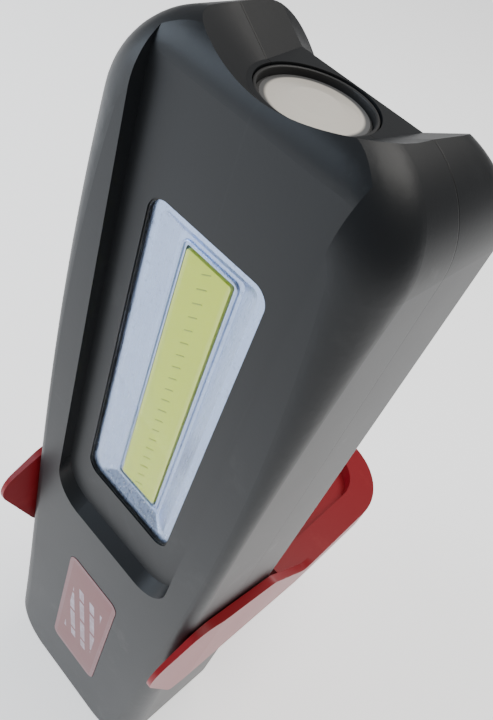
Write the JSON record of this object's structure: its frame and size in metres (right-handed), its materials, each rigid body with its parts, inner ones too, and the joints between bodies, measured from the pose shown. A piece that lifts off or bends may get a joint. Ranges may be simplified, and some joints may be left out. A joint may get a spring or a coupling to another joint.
{
  "type": "work light",
  "caption": "Slim rechargeable hand work light with a lamp window on the front, a torch in the head end and a red folding magnetic stand.",
  "frame": {"origin": "centre of the flat tail end face, halfway through the depth", "axes": "+Z from the tail face to the torch head, -Y out of the lamp front, +X to the right seen from the front"},
  "size_m": [0.0578, 0.1101, 0.1939],
  "materials": {
    "black_plastic": "satin",
    "black_rubber": "matte",
    "clear_plastic": "gloss",
    "silver_plastic": "satin",
    "lamp_phosphor": "matte",
    "circuit_board": "gloss",
    "aluminium": "satin",
    "cell_wrap": "gloss",
    "nickel": "satin",
    "chip_plastic": "matte",
    "screw_steel": "satin",
    "wire_cover": "satin",
    "nylon": "satin",
    "red_label": "satin",
    "red_plastic": "satin"
  },
  "bodies": {
    "housing": {"front_shell": "black_plastic", "rear_shell": "black_plastic", "window_cover": "clear_plastic", "window_gasket": "black_rubber", "lamp_bezel": "silver_plastic", "lamp_strip": "lamp_phosphor", "lamp_board": "circuit_board", "heat_sink": "aluminium", "lamp_screws": "screw_steel", "torch_lens": "clear_plastic", "lens_holder": "black_plastic", "torch_board": "circuit_board", "torch_led": "lamp_phosphor", "battery_cell": "cell_wrap", "cell_tab": "nickel", "cell_spring": "nickel", "spring_plate": "nickel", "main_board": "circuit_board", "board_chips": "chip_plastic", "board_screws": "screw_steel", "charge_socket": "nickel", "socket_board": "circuit_board", "tact_switch": "chip_plastic", "switch_board": "circuit_board", "lamp_leads": "wire_cover", "torch_leads": "wire_cover", "battery_leads": "wire_cover", "label_plate": "red_label", "case_screws": "screw_steel", "pivot_bushes": "nylon", "friction_washers": "black_rubber"},
    "stand": {"stand_cradle": "red_plastic", "stand_magnets": "nickel", "magnet_cover": "black_rubber", "pivot_pins": "screw_steel"},
    "button": {"power_button": "black_rubber"}
  },
  "joints": [
    {"name": "stand_pivot", "type": "hinge", "parent": "housing", "child": "stand", "pos_m": [0, 0.0044, 0.0722], "axis": [1, 0, 0], "range_deg": [-15, 94]},
    {"name": "button_press", "type": "slide", "parent": "housing", "child": "button", "axis": [1, 0, 0], "range_m": [0, 0.0006], "stiffness_N_per_m": 1200, "springref_m": -0.0006}
  ]
}
